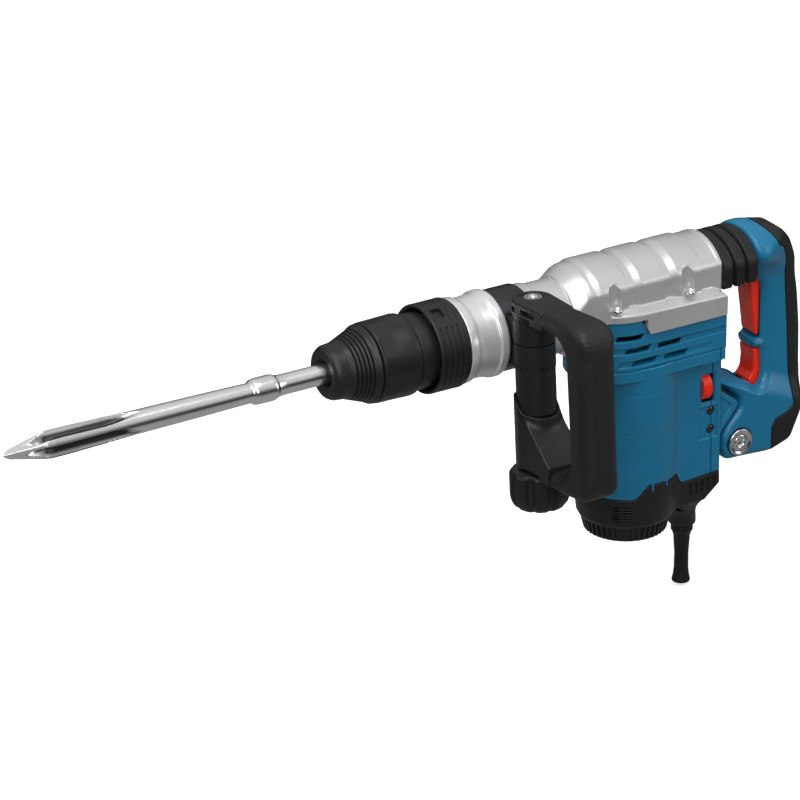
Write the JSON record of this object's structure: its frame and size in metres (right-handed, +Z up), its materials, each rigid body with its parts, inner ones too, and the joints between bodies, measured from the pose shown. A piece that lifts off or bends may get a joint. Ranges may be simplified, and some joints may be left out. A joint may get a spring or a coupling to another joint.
{
  "type": "demolition hammer",
  "caption": "Electric demolition hammer with a pointed chisel, sprung rear handle, swivelling side handle, upright motor and a crank-driven air hammer inside.",
  "frame": {"origin": "the point of the chisel, on the striking axis", "axes": "+X runs along the striking axis from the point back to the rear handle, +Z is up, away from the motor, and -Y is the side the side handle and the speed wheel are on"},
  "size_m": [0.7974, 0.2065, 0.3424],
  "materials": {
    "tool_steel": "forged and turned tool steel",
    "bright_steel": "bright machined steel",
    "dark_steel": "hardened dark steel",
    "silver_cast": "silver-grey lacquered die casting",
    "silver_collar": "turned aluminium",
    "blue_shell": "satin glass-filled polyamide",
    "black_shell": "textured black polyamide",
    "grey_rubber": "matt elastomer",
    "black_rubber": "matt elastomer",
    "soft_grip": "soft touch overmould",
    "red_plastic": "satin red polyamide",
    "lens": "dark tinted lens",
    "brass": "drawn brass",
    "bronze": "sintered bronze",
    "copper_winding": "enamelled copper windings on laminations",
    "lamination": "stacked laminations",
    "carbon": "carbon",
    "board": "potted circuit board"
  },
  "bodies": {
    "housing": {"gear_housing": "silver_cast", "front_collar": "silver_collar", "hammer_tube": "bright_steel", "vent_housing": "blue_shell", "motor_housing": "blue_shell", "rear_cover": "blue_shell", "motor_end_cap": "black_shell", "intake_ring": "black_shell", "housing_screws": "bright_steel", "electronics_module": "board", "indicator_lenses": "lens", "cord_gland": "black_shell", "cord_clamp": "black_shell", "strain_relief": "black_rubber", "crank_bearing": "bright_steel", "armature_bearings": "bright_steel", "stator": "lamination", "brush_holders": "brass", "carbon_brushes": "carbon", "pivot_bushes": "bronze"},
    "holder": {"tool_holder": "dark_steel", "locking_pins": "bright_steel", "dust_cap": "grey_rubber", "sleeve_spring": "bright_steel"},
    "bit": {"chisel": "tool_steel"},
    "sleeve": {"locking_sleeve": "black_shell"},
    "ring": {"position_ring": "black_shell"},
    "bolt": {"impact_bolt": "dark_steel"},
    "ram": {"striker": "dark_steel"},
    "air_piston": {"piston": "silver_collar"},
    "crank": {"crank_gear": "dark_steel"},
    "conrod": {"connecting_rod": "silver_collar"},
    "armature": {"armature_shaft": "bright_steel", "armature_core": "copper_winding", "cooling_fan": "black_shell"},
    "rear_handle": {"handle_left_shell": "blue_shell", "handle_right_shell": "blue_shell", "handle_overmould": "soft_grip", "pivot_pin": "bright_steel", "pivot_discs": "bright_steel", "switch_block": "black_shell", "bellows": "black_rubber", "handle_spring": "bright_steel"},
    "trigger_lever": {"trigger": "red_plastic"},
    "button": {"lock_button": "red_plastic"},
    "wheel": {"speed_wheel": "red_plastic"},
    "clamp": {"clamp_band": "dark_steel", "clamp_upper": "black_shell", "clamp_lower": "black_shell", "upper_tooth_ring": "black_shell", "detent_sleeve": "black_shell"},
    "side_handle": {"side_handle_frame": "black_shell", "side_handle_grip": "soft_grip", "tie_rod": "bright_steel"},
    "washer": {"thrust_washer": "bright_steel"},
    "knob": {"clamping_knob": "black_shell", "knob_nut": "bright_steel"}
  },
  "joints": [
    {"name": "tool_turn", "type": "hinge", "parent": "housing", "child": "holder", "pos_m": [0.36, 0, 0], "axis": [1, 0, 0], "range_deg": [-180, 180]},
    {"name": "chisel_slide", "type": "slide", "parent": "holder", "child": "bit", "axis": [1, 0, 0], "range_m": [-0.02, 0]},
    {"name": "sleeve_slide", "type": "slide", "parent": "holder", "child": "sleeve", "axis": [1, 0, 0], "range_m": [0, 0.01], "stiffness_N_per_m": 1500, "deforming": ["sleeve_spring"]},
    {"name": "ring_slide", "type": "slide", "parent": "holder", "child": "ring", "axis": [1, 0, 0], "range_m": [-0.003, 0], "stiffness_N_per_m": 2500},
    {"name": "bolt_slide", "type": "slide", "parent": "housing", "child": "bolt", "axis": [1, 0, 0], "range_m": [-0.01, 0]},
    {"name": "striker_slide", "type": "slide", "parent": "housing", "child": "ram", "axis": [1, 0, 0], "range_m": [-0.02, 0]},
    {"name": "piston_slide", "type": "slide", "parent": "housing", "child": "air_piston", "axis": [1, 0, 0], "range_m": [-0.009, 0.009]},
    {"name": "crank_spin", "type": "hinge", "parent": "housing", "child": "crank", "pos_m": [0.652, 0, -0.02], "axis": [0, 0, 1], "continuous": true},
    {"name": "armature_spin", "type": "hinge", "parent": "housing", "child": "armature", "pos_m": [0.619, 0, -0.1], "axis": [0, 0, 1], "continuous": true},
    {"name": "conrod_turn", "type": "hinge", "parent": "crank", "child": "conrod", "pos_m": [0.643, 0, 0], "axis": [0, 0, 1], "continuous": true},
    {"name": "handle_pivot", "type": "hinge", "parent": "housing", "child": "rear_handle", "pos_m": [0.7233, 0, -0.155], "axis": [0, 1, 0], "range_deg": [-2, 0], "stiffness_Nm_per_rad": 300, "deforming": ["bellows", "handle_spring"]},
    {"name": "trigger_pull", "type": "hinge", "parent": "rear_handle", "child": "trigger_lever", "pos_m": [0.7545, 0, -0.011], "axis": [0, -1, 0], "range_deg": [0, 7], "stiffness_Nm_per_rad": 3},
    {"name": "button_press", "type": "slide", "parent": "rear_handle", "child": "button", "axis": [1, 0, 0], "range_m": [0, 0.0025], "stiffness_N_per_m": 1500},
    {"name": "wheel_turn", "type": "hinge", "parent": "housing", "child": "wheel", "pos_m": [0.683, -0.0202, -0.0915], "axis": [1, 0, 0], "range_deg": [-135, 135]},
    {"name": "clamp_swivel", "type": "hinge", "parent": "housing", "child": "clamp", "pos_m": [0.489, 0, 0], "axis": [1, 0, 0], "range_deg": [-180, 180]},
    {"name": "handle_swing", "type": "hinge", "parent": "clamp", "child": "side_handle", "pos_m": [0.4885, -0.05315, -0.026], "axis": [0, 0.0767, 0.9971], "range_deg": [-45, 45]},
    {"name": "knob_travel", "type": "slide", "parent": "side_handle", "child": "washer", "axis": [0, -0.0767, -0.9971], "range_m": [0, 0.0045]},
    {"name": "knob_turn", "type": "hinge", "parent": "washer", "child": "knob", "pos_m": [0.4885, -0.06044, -0.12072], "axis": [0, -0.0767, -0.9971], "range_deg": [0, 1080]}
  ],
  "couplings": [
    {"joint": "bolt_slide", "follows": "chisel_slide", "ratio": 0.5},
    {"joint": "armature_spin", "follows": "crank_spin", "ratio": -6.3333},
    {"joint": "conrod_turn", "follows": "crank_spin", "ratio": -1},
    {"joint": "knob_travel", "follows": "knob_turn", "m_per_rad": 0.000238}
  ]
}
